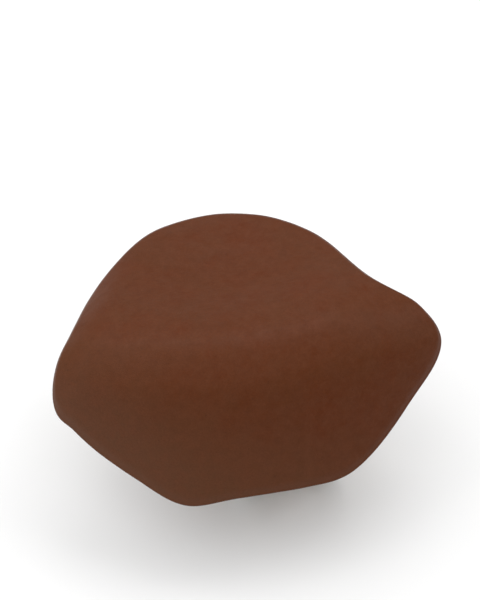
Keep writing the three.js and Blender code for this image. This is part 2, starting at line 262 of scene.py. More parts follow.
def layer(name, outline, centre, shares, upper, lower, rim_steps=0):
    """A closed body between two surfaces, with rings of points at these shares of the way out.

    upper and lower give points from x, y and share. With rim_steps, the cut edge bulges a little.
    """
    centre = np.array(centre, float)
    count = len(outline)
    shares = np.array(shares)
    grid = centre + (outline[None] - centre) * shares[:, None, None]
    x, y = grid[..., 0], grid[..., 1]
    share = np.broadcast_to(shares[:, None], x.shape)
    middle = np.array([[centre[0]]]), np.array([[centre[1]]]), np.zeros((1, 1))
    top, bottom = upper(x, y, share), lower(x, y, share)
    rows = [upper(*middle).reshape(-1, 3), top.reshape(-1, 3)]
    outward = outline - centre
    outward = np.pad(outward / np.linalg.norm(outward, axis=1)[:, None], ((0, 0), (0, 1)))
    for i in range(rim_steps):
        t = (i + 1) / (rim_steps + 1)
        bulge = math.sin(math.pi * t) * RIM_BULGE
        rows.append(top[-1] * (1 - t) + bottom[-1] * t + outward * bulge)
    rows += [bottom[::-1].reshape(-1, 3), lower(*middle).reshape(-1, 3)]
    points = np.concatenate(rows)
    bands = 2 * len(shares) + rim_steps
    last = 1 + bands * count
    ring = np.arange(count)
    after = (ring + 1) % count
    faces = [(0, 1 + a, 1 + b) for a, b in zip(ring, after)]
    for band in range(bands - 1):
        start, below = 1 + band * count, 1 + (band + 1) * count
        faces += [(start + a, below + a, below + b, start + b) for a, b in zip(ring, after)]
    start = 1 + (bands - 1) * count
    faces += [(start + a, last, start + b) for a, b in zip(ring, after)]
    piece = mesh_object(name, points, faces)
    rim = range(count + (len(shares) - 1) * count, count + (len(shares) + rim_steps) * count)
    return piece, rim


def lathe(name, profile, x, y, segments=64):
    """A turned piece about a vertical axis, from [radius, z] points that start and end on it."""
    turn = np.linspace(0, 2 * np.pi, segments, endpoint=False)
    points, faces, rings = [], [], []
    for radius, z in profile:
        if radius == 0:
            rings.append([len(points)])
            points.append((x, y, z))
        else:
            rings.append(list(range(len(points), len(points) + segments)))
            points += [(x + radius * math.cos(a), y + radius * math.sin(a), z) for a in turn]
    closed = profile[0][0] != 0
    pairs = list(zip(rings, rings[1:] + rings[:1])) if closed else list(zip(rings, rings[1:]))
    for a, b in pairs:
        for i in range(segments):
            j = (i + 1) % segments
            corners = [a[i % len(a)], a[j % len(a)], b[j % len(b)], b[i % len(b)]]
            faces.append(tuple(dict.fromkeys(corners)))
    return mesh_object(name, points, faces)


def sharpen(piece, degrees=35):
    """Smooth shading that breaks at edges sharper than this."""
    piece.data.set_sharp_from_angle(angle=math.radians(degrees))


def prism(name, outline, base, top):
    """A straight body on an outline given as [x, y] points, anticlockwise."""
    count = len(outline)
    points = [(x, y, base) for x, y in outline] + [(x, y, top) for x, y in outline]
    faces = [tuple(reversed(range(count))), tuple(range(count, 2 * count))]
    faces += [(i, (i + 1) % count, count + (i + 1) % count, count + i) for i in range(count)]
    return mesh_object(name, points, faces)


def box(name, low, high):
    """A block between two opposite corners."""
    outline = [(low[0], low[1]), (high[0], low[1]), (high[0], high[1]), (low[0], high[1])]
    return prism(name, outline, low[2], high[2])


def apply_modifiers(piece):
    """Bakes a piece's modifiers into its mesh."""
    graph = bpy.context.evaluated_depsgraph_get()
    mesh = bpy.data.meshes.new_from_object(piece.evaluated_get(graph))
    piece.modifiers.clear()
    piece.data = mesh


def combine(piece, tools, operation):
    """Joins, cuts or keeps the overlap with each tool in turn, and removes the tools."""
    for tool in tools:
        change = piece.modifiers.new("combine", "BOOLEAN")
        change.object, change.operation, change.solver = tool, operation, "EXACT"
        apply_modifiers(piece)
        bpy.data.objects.remove(tool)
    return piece


def bevel(piece, width, segments=2, degrees=35):
    change = piece.modifiers.new("bevel", "BEVEL")
    change.width, change.segments = width * MM, segments
    change.limit_method, change.angle_limit = "ANGLE", math.radians(degrees)
    change.harden_normals = True
    apply_modifiers(piece)
    return piece


def face_out(piece):
    """Turns every face outwards."""
    whole = bmesh.new()
    whole.from_mesh(piece.data)
    bmesh.ops.recalc_face_normals(whole, faces=whole.faces)
    whole.to_mesh(piece.data)
    whole.free()


def drop_slivers(piece):
    """Merges points that all but touch, and drops the faces that this flattens."""
    whole = bmesh.new()
    whole.from_mesh(piece.data)
    bmesh.ops.remove_doubles(whole, verts=whole.verts, dist=SLIVER_REACH * MM)
    bmesh.ops.dissolve_degenerate(whole, edges=whole.edges, dist=SLIVER_REACH * MM)
    whole.to_mesh(piece.data)
    whole.free()


def thread(name, x, y, base, top, radius, pitch, hand, blunt_base=0.0, blunt_top=0.0):
    """A solid threaded rod. hand is 1 for a right-hand thread and -1 for a left-hand one."""
    segments, depth = THREAD_SEGMENTS, pitch * THREAD_DEPTH
    rows = int((top - base) / pitch * THREAD_ROWS) + 1
    z = np.linspace(base, top, rows)[:, None]
    turn = np.linspace(0, 2 * np.pi, segments, endpoint=False)[None]
    phase = np.mod(z / pitch - hand * turn / (2 * np.pi), 1)
    radii = radius - depth * smooth(1 - np.abs(2 * phase - 1), THREAD_ROOT, THREAD_CREST)
    from_end = np.minimum(z - base + (radius - blunt_base), top - z + (radius - blunt_top))
    radii = np.minimum(radii, np.maximum(from_end, THREAD_BLUNT * radius))
    points = np.stack([x + radii * np.cos(turn), y + radii * np.sin(turn),
                       np.broadcast_to(z, radii.shape)], axis=-1).reshape(-1, 3)
    points = np.concatenate([points, [(x, y, base), (x, y, top)]])
    faces = []
    for row in range(rows - 1):
        for i in range(segments):
            j = (i + 1) % segments
            a, b = row * segments, (row + 1) * segments
            faces.append((a + i, a + j, b + j, b + i))
    last = (rows - 1) * segments
    for i in range(segments):
        j = (i + 1) % segments
        faces.append((len(points) - 2, j, i))
        faces.append((len(points) - 1, last + i, last + j))
    return mesh_object(name, points, faces)


# --- Material helpers. Colours are linear ---


def material(name, **inputs):
    made = bpy.data.materials.new(name)
    made.use_nodes = True
    shader = made.node_tree.nodes["Principled BSDF"]
    for key, value in inputs.items():
        shader.inputs[key.replace("_", " ")].default_value = value
    return made, made.node_tree, shader


def node(tree, kind, inputs=None, **settings):
    made = tree.nodes.new("ShaderNode" + kind)
    for key, value in settings.items():
        setattr(made, key, value)
    for key, value in (inputs or {}).items():
        if isinstance(value, bpy.types.NodeSocket):
            tree.links.new(value, made.inputs[key])
        else:
            made.inputs[key].default_value = value
    return made


def millimetres(tree, stretch=(1, 1, 1)):
    """The point on the piece, in millimetres, stretched along each axis."""
    place = node(tree, "TexCoord").outputs["Object"]
    scale = tuple(s / MM for s in stretch)
    return node(tree, "Mapping", {"Vector": place, "Scale": scale}).outputs["Vector"]


def cloud(tree, place, size, detail=3.0, roughness=0.55, distortion=0.0):
    """Soft noise around a half, with its largest patches about this size."""
    inputs = {"Vector": place, "Scale": 1 / size, "Detail": detail, "Roughness": roughness,
              "Distortion": distortion}
    return node(tree, "TexNoise", inputs).outputs["Fac"]


def cells(tree, place, size, feature="F1", output="Distance"):
    """Voronoi cells of about this size."""
    inputs = {"Vector": place, "Scale": 1 / size, "Randomness": 1.0}
    return node(tree, "TexVoronoi", inputs, feature=feature).outputs[output]


def remap(tree, value, low, high, to_low=0.0, to_high=1.0):
    inputs = {"Value": value, "From Min": low, "From Max": high,
              "To Min": to_low, "To Max": to_high}
    return node(tree, "MapRange", inputs).outputs["Result"]


def mix(tree, factor, first, second):
    """The first colour, going over to the second as the factor nears one."""
    made = node(tree, "Mix", data_type="RGBA", blend_type="MIX")
    for index, value in ((0, factor), (6, first), (7, second)):
        if isinstance(value, bpy.types.NodeSocket):
            tree.links.new(value, made.inputs[index])
        elif index:
            made.inputs[index].default_value = (*value, 1)
        else:
            made.inputs[index].default_value = value
    return made.outputs[2]


def calculate(tree, operation, first, second):
    return node(tree, "Math", {0: first, 1: second}, operation=operation).outputs[0]


def bump(tree, height, distance, strength=1.0, normal=None):
    """Relief of this depth, in millimetres."""
    inputs = {"Height": height, "Distance": distance * MM, "Strength": strength}
    if normal is not None:
        inputs["Normal"] = normal
    return node(tree, "Bump", inputs).outputs["Normal"]


def plug(tree, shader, **sources):
    """Links each source to the shader's input of that name."""
    for key, value in sources.items():
        tree.links.new(value, shader.inputs[key.replace("_", " ")])


# --- Materials ---


# The way towards the margin that hangs lowest, where a painted sheen, standing in for the grazing
# reflection on the curled margin, makes the leather greyer and less red. The sheen starts and is
# complete this many millimetres that way, and covers at most this share.
SHEEN_WAY = (-0.60, -0.45, -0.66)
SHEEN_FROM, SHEEN_TO, SHEEN_MOST = 4, 34, 0.75


def leather_material():
    made, tree, shader = material("leather", Specular_IOR_Level=0.09, Sheen_Weight=0.015,
                                  Sheen_Roughness=0.4)
    shader.inputs["Sheen Tint"].default_value = (0.85, 0.78, 0.70, 1)
    place = millimetres(tree)
    blotches = remap(tree, cloud(tree, place, 16, 4, 0.6, 0.4), 0.36, 0.64)
    warm = mix(tree, blotches, (0.086, 0.0228, 0.0054), (0.091, 0.0185, 0.0025))
    patches = remap(tree, cloud(tree, place, 4.5, 4), 0.35, 0.7)
    tone = mix(tree, calculate(tree, "MULTIPLY", patches, 0.45), warm, (0.086, 0.0270, 0.0110))
    # Painted sheen: the leather turns paler and greyer towards the lower-left margin.
    along = node(tree, "VectorMath", {0: place, 1: SHEEN_WAY}, operation="DOT_PRODUCT")
    painted_sheen = remap(tree, along.outputs["Value"], SHEEN_FROM, SHEEN_TO, 0, SHEEN_MOST)
    tone = mix(tree, painted_sheen, tone, (0.093, 0.039, 0.0175))
    # Painted sheen: paler, greyer patches at random, standing in for the leather's patchy gloss.
    sheen_patches = remap(tree, cloud(tree, place, 3.4, 5, 0.8), 0.3, 0.7)
    tone = mix(tree, calculate(tree, "MULTIPLY", sheen_patches, 0.65), tone, (0.118, 0.0365, 0.0145))
    specks = remap(tree, cloud(tree, place, 0.55, 3), 0.4, 0.75)
    tone = mix(tree, calculate(tree, "MULTIPLY", specks, 0.3), tone, (0.062, 0.018, 0.007))
    pores = remap(tree, cells(tree, place, 3.4), 0.02, 0.075, 1, 0)
    tone = mix(tree, calculate(tree, "MULTIPLY", pores, 0.5), tone, (0.030, 0.010, 0.005))
    grain = cells(tree, place, 0.55, "DISTANCE_TO_EDGE")
    pebble = remap(tree, grain, 0.0, 0.22)
    folds = cloud(tree, millimetres(tree, (0.8, 1.2, 1)), 3.2, 5, 0.6, 1.2)
    creases = remap(tree, folds, 0.35, 0.65)
    normal = bump(tree, creases, 0.04, 0.5)
    normal = bump(tree, pebble, 0.022, 0.6, normal)
    normal = bump(tree, cloud(tree, place, 0.16, 3), 0.010, 0.6, normal)
    rough = remap(tree, cloud(tree, place, 4, 4), 0.3, 0.7, 0.36, 0.44)
    plug(tree, shader, Base_Color=tone, Roughness=rough, Normal=normal)
    return made


def cut_edge_material():
    made, tree, shader = material("leather_cut_edge", Roughness=0.72, Specular_IOR_Level=0.3)
    place = millimetres(tree)
    fibres = remap(tree, cloud(tree, place, 0.35, 5, 0.7, 0.5), 0.3, 0.7)
    plug(tree, shader, Base_Color=mix(tree, fibres, (0.125, 0.052, 0.030), (0.22, 0.10, 0.058)),
         Normal=bump(tree, fibres, 0.05))
    return made


def suede_material():
    made, tree, shader = material("suede", Roughness=0.95, Specular_IOR_Level=0.15,
                                  Sheen_Weight=0.5, Sheen_Roughness=0.5)
    place = millimetres(tree)
    brushed = remap(tree, cloud(tree, place, 9, 4, 0.6, 1.5), 0.35, 0.65)
    tone = mix(tree, brushed, (0.27, 0.165, 0.098), (0.20, 0.115, 0.066))
    nap = cloud(tree, place, 0.22, 5, 0.75)
    tone = mix(tree, remap(tree, nap, 0.35, 0.65, 0, 0.5), tone, (0.13, 0.075, 0.044))
    plug(tree, shader, Base_Color=tone, Normal=bump(tree, nap, 0.10, 0.9))
    return made


def foam_material():
    made, tree, shader = material("foam", Roughness=0.95, Specular_IOR_Level=0.2)
    place = millimetres(tree)
    pores = cells(tree, place, 0.45)
    tone = mix(tree, remap(tree, pores, 0.1, 0.6), (0.02, 0.02, 0.021), (0.055, 0.055, 0.058))
    plug(tree, shader, Base_Color=tone, Normal=bump(tree, pores, 0.12, 0.8))
    return made


def tape_material(name, fluff):
    """Woven tape. fluff is the share of light loops over the weave."""
    made, tree, shader = material(name, Roughness=0.85, Specular_IOR_Level=0.35, Sheen_Weight=0.3)
    place = millimetres(tree)
    across = node(tree, "TexWave", {"Vector": place, "Scale": 0.9, "Distortion": 0.3},
                  bands_direction="X").outputs["Fac"]
    along = node(tree, "TexWave", {"Vector": place, "Scale": 0.9, "Distortion": 0.3},
                 bands_direction="Y").outputs["Fac"]
    weave = calculate(tree, "MULTIPLY", across, along)
    fuzz = cloud(tree, place, 0.3, 6, 0.8, 2.0)
    height = mix(tree, fluff, weave, fuzz)
    tone = mix(tree, remap(tree, fuzz, 0.3, 0.7), (0.008, 0.008, 0.009), (0.035, 0.034, 0.034))
    plug(tree, shader, Base_Color=tone, Normal=bump(tree, height, 0.15, 0.8))
    return made


def wood_material():
    made, tree, shader = material("plate_wood", Specular_IOR_Level=0.4, Coat_Weight=0.12,
                                  Coat_Roughness=0.22)
    place = millimetres(tree, (0.12, 1, 1))
    bands = cloud(tree, place, 4.5, 5, 0.6, 0.8)
    tone = mix(tree, remap(tree, bands, 0.35, 0.65), (0.030, 0.016, 0.011), (0.085, 0.042, 0.025))
    streaks = cloud(tree, millimetres(tree, (0.05, 1, 1)), 0.35, 4, 0.65)
    tone = mix(tree, remap(tree, streaks, 0.5, 0.72, 0, 0.75), tone, (0.010, 0.006, 0.005))
    pores = remap(tree, cells(tree, millimetres(tree, (0.14, 1, 1)), 0.5), 0.05, 0.22, 1, 0)
    normal = bump(tree, calculate(tree, "MULTIPLY", pores, -1.0), 0.03, 0.6)
    rough = remap(tree, streaks, 0.3, 0.7, 0.34, 0.5)
    plug(tree, shader, Base_Color=tone, Roughness=rough, Normal=normal)
    return made


def cork_material():
    made, tree, shader = material("cork", Roughness=0.88, Specular_IOR_Level=0.25)
    place = millimetres(tree)
    grains = cells(tree, place, 0.9, "F1", "Color")
    grey = node(tree, "RGBToBW", {"Color": grains}).outputs[0]
    tone = mix(tree, grey, (0.36, 0.20, 0.095), (0.56, 0.36, 0.19))
    seams = remap(tree, cells(tree, place, 0.9, "DISTANCE_TO_EDGE"), 0.0, 0.07, 1, 0)
    tone = mix(tree, calculate(tree, "MULTIPLY", seams, 0.5), tone, (0.14, 0.065, 0.028))
    flecks = remap(tree, cloud(tree, place, 1.6, 4, 0.7), 0.6, 0.68)
    tone = mix(tree, calculate(tree, "MULTIPLY", flecks, 0.8), tone, (0.075, 0.032, 0.015))
    height = calculate(tree, "SUBTRACT", calculate(tree, "MULTIPLY", seams, -0.6), flecks)
    plug(tree, shader, Base_Color=tone, Normal=bump(tree, height, 0.08, 0.8))
    return made


def nickel_material():
    made, tree, shader = material("nickel_plate", Metallic=1.0)
    place = millimetres(tree)
    clouds = cloud(tree, place, 6, 4, 0.6)
    tone = mix(tree, remap(tree, clouds, 0.3, 0.7), (0.50, 0.475, 0.43), (0.63, 0.61, 0.57))
    scratches = cloud(tree, millimetres(tree, (0.2, 3, 3)), 0.6, 6, 0.75)
    rough = remap(tree, scratches, 0.3, 0.75, 0.10, 0.26)
    plug(tree, shader, Base_Color=tone, Roughness=rough, Normal=bump(tree, scratches, 0.004, 0.5))
    return made


def steel_material():
    made, tree, shader = material("stud_steel", Metallic=1.0)
    place = millimetres(tree)
    stains = cloud(tree, place, 1.5, 5, 0.65)
    tone = mix(tree, remap(tree, stains, 0.35, 0.7), (0.50, 0.49, 0.47), (0.33, 0.31, 0.29))
    rough = remap(tree, stains, 0.3, 0.7, 0.28, 0.5)
    plug(tree, shader, Base_Color=tone, Roughness=rough)
    return made


MATERIALS = {
    "leather": leather_material(),
    "cut_edge": cut_edge_material(),
    "suede": suede_material(),
    "foam": foam_material(),
    "loop": tape_material("loop_tape", 0.85),
    "hook": tape_material("hook_tape", 0.25),
    "wood": wood_material(),
    "cork": cork_material(),
    "nickel": nickel_material(),
    "steel": steel_material(),
}


def finish_piece(piece, look, slot, body, *nodes):
    """Gives a piece its material and body and hides its CAD nodes. slot is not used."""
    piece.data.materials.clear()
    piece.data.materials.append(MATERIALS[look])
    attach(piece, body)
    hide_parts(*nodes)
    return piece


# --- Cover ---

# Points around, and the shares of the way out at which each layer has a ring of points.
COVER_SECTORS = 288
LEATHER_SHARES = np.concatenate([np.linspace(0.016, 0.96, 60), np.linspace(0.967, 1, 9)])
SOFT_SHARES = np.linspace(0.025, 1, 40)
TAPE_SHARES = np.linspace(0.05, 1, 22)
TAPE_SECTORS = 96
LEATHER_RIM, FOAM_RIM, LINING_RIM, TAPE_RIM = 4, 3, 2, 2
LINING_REACH = 0.99
SOFT_EASE = 0.1       # what foam and tape give up on each side to leave room for their relief
SAG_SHARES = np.linspace(0.04, 1, 25)
SAG_SECTORS = 96
SAG_FRAMES = 20
SAG_MOST = 0.2        # the largest shift of the hung margin
HELD_TO = 0.5         # the share of the way out where the hold starts to let go
MARGIN_CLOTH = {"quality": 8, "mass": 0.02, "tension_stiffness": 25, "compression_stiffness": 25,
                "shear_stiffness": 25, "bending_stiffness": 12, "vertex_group_mass": "held"}
MARGIN_GRAVITY = 0.15
# The unevenness of each material: how deep it is and how wide its bumps are.
LEATHER_BROAD, LEATHER_SMALL = (0.16, 17), (0.05, 6)
FOAM_RELIEF, FOAM_BUMP = 0.10, 3
SUEDE_RELIEF, SUEDE_BUMP = 0.12, 8
LOOP_RELIEF, LOOP_BUMP = 0.12, 0.8
# How much of the leather's relief and edge roll shows on its inner side.
INNER_RELIEF, INNER_ROLL = 0.6, 0.4
EDGE_ROLL, EDGE_ROLL_FROM = 0.55, 0.962
TAPE_ROUND, TAPE_ROUND_FROM = 0.15, 0.93

cover_outline = closed_curve(COVER_OUTLINE, COVER_SECTORS)


def hang_margin():
    """Hangs the leather's loose margin as cloth. Gives the shift of each ring and sector, in mm.

    The sheet is held where the plate backs it and is left free towards its cut edge.
    """
    step = COVER_SECTORS // SAG_SECTORS
    outline, centre = cover_outline[::step], np.array(COVER_CENTRE, float)
    grid = centre + (outline[None] - centre) * SAG_SHARES[:, None, None]
    start = under_crown(grid[..., 0], grid[..., 1], 0).reshape(-1, 3)
    rings, ring = len(SAG_SHARES), np.arange(SAG_SECTORS)
    after = (ring + 1) % SAG_SECTORS
    faces = [tuple(ring)]
    for row in range(rings - 1):
        near, far = row * SAG_SECTORS, (row + 1) * SAG_SECTORS
        faces += [(near + a, far + a, far + b, near + b) for a, b in zip(ring, after)]
    sheet = mesh_object("margin", start, faces)
    held = sheet.vertex_groups.new(name="held")
    for row, share in enumerate(SAG_SHARES):
        weight = float(1 - smooth(share, HELD_TO, 1))
        held.add([int(row * SAG_SECTORS + i) for i in ring], weight, "REPLACE")
    cloth = sheet.modifiers.new("cloth", "CLOTH")
    for key, value in MARGIN_CLOTH.items():
        setattr(cloth.settings, key, value)
    cloth.settings.effector_weights.gravity = MARGIN_GRAVITY
    cloth.point_cache.frame_start, cloth.point_cache.frame_end = 1, SAG_FRAMES
    for frame_number in range(1, SAG_FRAMES + 1):
        bpy.context.scene.frame_set(frame_number)
    apply_modifiers(sheet)
    end = np.array([tuple(v.co) for v in sheet.data.vertices]) / MM
    bpy.data.objects.remove(sheet)
    bpy.context.scene.frame_set(1)
    shift = (end - start).reshape(rings, SAG_SECTORS, 3)
    return shift * SAG_MOST / np.linalg.norm(shift, axis=-1).max()


def follow_margin(piece, shares, rim_steps, sag, reach=1.0):
    """Moves a layer of the cover with the hung margin, ring by ring."""
    rows = np.concatenate([shares, np.ones(rim_steps), shares[::-1]]) * reach
    count = (len(piece.data.vertices) - 2) // len(rows)
    turn = np.arange(count) * SAG_SECTORS / count
    low = turn.astype(int)
    part = (turn - low)[None, :, None]
    around = sag[:, low] * (1 - part) + sag[:, (low + 1) % SAG_SECTORS] * part
    place = np.interp(rows, SAG_SHARES, np.arange(len(SAG_SHARES)))
    inner = np.minimum(place.astype(int), len(SAG_SHARES) - 2)
    part = (place - inner)[:, None, None]
    shift = (around[inner] * (1 - part) + around[inner + 1] * part).reshape(-1, 3)
    for vertex, move in zip(piece.data.vertices[1:-1], shift):
        vertex.co += Vector(move) * MM


def foam_thickness(share):
    return FOAM * (1 - smooth(share, FOAM_THINS_FROM, FOAM_THINS_TO))


def leather_relief(x, y):
    """How far the worn leather sinks below the crown: soft, broad unevenness."""
    (broad, broad_bump), (small, small_bump) = LEATHER_BROAD, LEATHER_SMALL
    return broad * ripple(x, y, broad_bump, 3.1) + small * ripple(x, y, small_bump, 8.7)


def edge_roll(share):
    """The cut edge's rounded upper corner."""
    return EDGE_ROLL * smooth(share, EDGE_ROLL_FROM, 1) ** 2


def make_leather(sag):
    def upper(x, y, share):
        return under_crown(x, y, leather_relief(x, y) + edge_roll(share))

    def lower(x, y, share):
        depth = LEATHER + leather_relief(x, y) * INNER_RELIEF + edge_roll(share) * INNER_ROLL
        return under_crown(x, y, depth)

    piece, rim = layer("leather_sheet", cover_outline, COVER_CENTRE, LEATHER_SHARES,
                       upper, lower, LEATHER_RIM)
    follow_margin(piece, LEATHER_SHARES, LEATHER_RIM, sag)
    finish_piece(piece, "leather", "leather", "cover", "leather_cover")
    piece.data.materials.append(MATERIALS["cut_edge"])
    for face in rim:
        piece.data.polygons[face].material_index = 1
    return piece


def make_foam(sag):
    centre = np.array(COVER_CENTRE)
    outline = centre + (cover_outline[::2] - centre) * FOAM_REACH

    def upper(x, y, share):
        relief = FOAM_RELIEF * ripple(x, y, FOAM_BUMP, 1.4)
        return under_crown(x, y, foam_depth + relief + SOFT_EASE)

    def lower(x, y, share):
        depth = foam_depth + foam_thickness(share * FOAM_REACH)
        relief = FOAM_RELIEF * ripple(x, y, FOAM_BUMP, 5.2)
        return under_crown(x, y, depth + relief - SOFT_EASE)

    piece, _ = layer("padding", outline, centre, SOFT_SHARES, upper, lower, FOAM_RIM)
    follow_margin(piece, SOFT_SHARES, FOAM_RIM, sag, FOAM_REACH)
    return finish_piece(piece, "foam", "foam", "cover", "foam_pad")


def make_lining(sag):
    centre = np.array(COVER_CENTRE)
    outline = centre + (cover_outline - centre) * LINING_REACH

    def depth(x, y, share):
        relief = SUEDE_RELIEF * ripple(x, y, SUEDE_BUMP, 6.6)
        return foam_depth + foam_thickness(share) + GAP + relief

    def upper(x, y, share):
        return under_crown(x, y, depth(x, y, share))

    def lower(x, y, share):
        return under_crown(x, y, depth(x, y, share) + LINING)

    piece, _ = layer("suede_back", outline, centre, SOFT_SHARES, upper, lower, LINING_RIM)
    follow_margin(piece, SOFT_SHARES, LINING_RIM, sag, LINING_REACH)
    return finish_piece(piece, "suede", "suede", "cover", "suede_lining")


def make_tape(side, place, kind, depth, body):
    """A round tape patch with soft corners. Loop tape is fluffy and hook tape is flat."""
    outline = circle(*place, TAPE_RADIUS, TAPE_SECTORS)

    def fluff(x, y, seed):
        return LOOP_RELIEF * ripple(x, y, LOOP_BUMP, seed) if kind == "loop" else 0.0

    def corner(share):
        return TAPE_ROUND * smooth(share, TAPE_ROUND_FROM, 1)

    def upper(x, y, share):
        return under_crown(x, y, depth + fluff(x, y, 2.2) + corner(share) + SOFT_EASE)

    def lower(x, y, share):
        return under_crown(x, y, depth + TAPE + fluff(x, y, 4.8) - corner(share) - SOFT_EASE)

    name = f"{kind}_tape_{side}"
    piece, _ = layer(name, outline, place, TAPE_SHARES, upper, lower, TAPE_RIM)
    return finish_piece(piece, kind, "tape", body, f"{kind}_patch_{side}")


# --- Plate ---

PLATE_SECTORS = 240
RIM_TURNS = np.linspace(0.12, np.pi / 2, 9)
PLATE_SHARES = np.concatenate([np.linspace(0.03, 0.93, 34), 1 - 0.07 * np.cos(RIM_TURNS)])
RIM_REACH, RIM_ROUND = 0.06, 1.9
SCREW_HOLE_SECTORS = 24
RECESS_PAST_FOOT = 4
OVERSHOOT = 1         # how far a cutting tool passes the face that it cuts


def plate_face_z(x, y):
    """The height of the plate's upper face, which runs parallel to the crown."""
    return crown_z(x, y) - plate_depth / crown_normal(x, y)[..., 2]


def rim_round(share):
    """How far the plate's rounded rim falls away as the share nears one."""
    t = np.clip((share - (1 - RIM_REACH)) / RIM_REACH, 0, 1)
    return RIM_ROUND * (1 - np.sqrt(1 - t ** 2))


FOOT_CORNER = 2.5
# The shares of the flare that widen the foot, push its front out and round its corners.
FLARE_WIDTH, FLARE_FRONT, FLARE_CORNER = 1.2, 0.25, 0.2
# How far up the foot, as a share, and how far it has flared by then.
FOOT_FLARE = [(0, -0.5), (0.03, 0), (0.3, 0.1), (0.44, 0.5), (0.54, 1.3), (0.64, 2.8), (0.72, 4.8),
              (0.8, 7.5), (1, 7.5)]


def make_foot():
    """The foot under the plate, which flares as it rises into it."""
    rings = []
    for share, flare in FOOT_FLARE:
        outline = rounded_rectangle(
            FOOT_WIDTH + FLARE_WIDTH * flare, FOOT_FRONT - FLARE_FRONT * flare,
            FOOT_BACK + flare, FOOT_CORNER + FLARE_CORNER * flare)
        x, y = outline.T
        height = plate_face_z(x, y) - FOOT_INTO_PLATE - foot_base
        rings.append(np.column_stack([outline, foot_base + height * share]))
    count = len(rings[0])
    faces = [tuple(reversed(range(count)))]
    faces.append(tuple(range((len(rings) - 1) * count, len(rings) * count)))
    for ring in range(len(rings) - 1):
        low, high = ring * count, (ring + 1) * count
        faces += [(low + i, low + (i + 1) % count, high + (i + 1) % count, high + i)
                  for i in range(count)]
    return mesh_object("foot", np.concatenate(rings), faces)


def make_plate():
    outline = closed_curve(PLATE_OUTLINE, PLATE_SECTORS)

    def upper(x, y, share):
        return np.stack([x, y, plate_face_z(x, y) - rim_round(share)], axis=-1)

    def lower(x, y, share):
        thickness = PLATE_THICKNESS + (PLATE_RIM - PLATE_THICKNESS) * share ** 4
        z = plate_face_z(x, y) - thickness + rim_round(share)
        return np.stack([x, y, z], axis=-1)

    piece, _ = layer("carved_plate", outline, PLATE_CENTRE, PLATE_SHARES, upper, lower)
    combine(piece, [make_foot()], "UNION")
    half = BAR_WIDTH / 2 + GAP
    bar_room = rounded_rectangle(2 * half, FOOT_FRONT - RECESS_PAST_FOOT, UPPER_BAR_BACK + GAP,
                                 BAR_CORNER)
    recess = prism("recess", bar_room, foot_base - OVERSHOOT, upper_bar_top + GAP)
    holes = [prism("hole", circle(x, SCREW_Y, SCREW_SHANK + GAP, SCREW_HOLE_SECTORS), foot_base,
                   foot_base + SCREW_LENGTH + 2 * GAP) for x in SCREWS.values()]
    combine(piece, [recess, *holes], "DIFFERENCE")
    drop_slivers(piece)
    sharpen(piece, 40)
    return finish_piece(piece, "wood", "wood", "root", "chin_plate")


CORK_EDGE = 0.25


def make_cork(name):
    """A cork strip, cut with a blade: crisp faces and slightly soft edges."""
    width, front, back, base, top = CORKS[name]
    outline = rounded_rectangle(width, front, back, CORK_CORNER, steps=6)
    piece = prism(f"{name}_strip", outline, base, top)
    bevel(piece, CORK_EDGE, segments=3, degrees=50)
    sharpen(piece, 40)
    body = "root" if name == "upper_cork" else "jaw"
    return finish_piece(piece, "cork", "cork", body, name)


# --- Clamp ---

UPPER_BAR_EDGE, LOWER_BAR_EDGE, BARREL_EDGE = 0.22, 0.2, 0.1
TAB_HOLE_CLEARANCE, SOCKET_CLEARANCE = 0.15, 0.12
LOWER_BAR_CORNER, LEG_INTO_BOSS = 2.5, 1
BEND_STEPS = 14
PLAN_FRONT, LEG_CUT_FRONT = -14, -10     # both are in front of the legs
KEY_HOLE_REACH = 5    # from the barrel's axis, past its wall
TURNED_SECTORS, BARREL_SECTORS, KEY_HOLE_SECTORS = 48, 96, 40
SCREW_NECK, SCREW_BLUNT = 2.4, 1.2
SLOT_REACH, SLOT_HALF_WIDTH, SLOT_DEPTH = 4, 0.35, 0.6


def between_tabs(front, back, base, top):
    """The block to cut away, so that only the tabs pass the violin's edge."""
    width, run_out = 2 * TAB_INSIDE, 6
    outline = rounded_rectangle(width, front - run_out, back, BAR_CORNER)
    return prism("between", outline, base, top)


def make_upper_bar():
    outline = rounded_rectangle(BAR_WIDTH, UPPER_BAR_FRONT, UPPER_BAR_BACK, BAR_CORNER)
    piece = prism("upper_bar", outline, foot_base, upper_bar_top)
    low, high = foot_base - OVERSHOOT, upper_bar_top + OVERSHOOT
    tools = [between_tabs(UPPER_BAR_FRONT, FOOT_FRONT, low, high)]
    for x in STUDS.values():
        hole = circle(x, STUD_Y, STUD_RADIUS + TAB_HOLE_CLEARANCE, TURNED_SECTORS)
        tools.append(prism("hole", hole, low, high))
    wide, narrow = SCREW_HEAD + GAP, SCREW_SHANK + GAP
    sink = [(0, low), (wide, low), (wide, foot_base), (narrow, upper_bar_top), (narrow, high),
            (0, high)]
    for x in SCREWS.values():
        tools.append(lathe("sink", sink, x, SCREW_Y, TURNED_SECTORS))
    combine(piece, tools, "DIFFERENCE")
    bevel(piece, UPPER_BAR_EDGE)
    drop_slivers(piece)
    sharpen(piece)
    return finish_piece(piece, "nickel", "nickel", "root", "upper_clamp_bar")


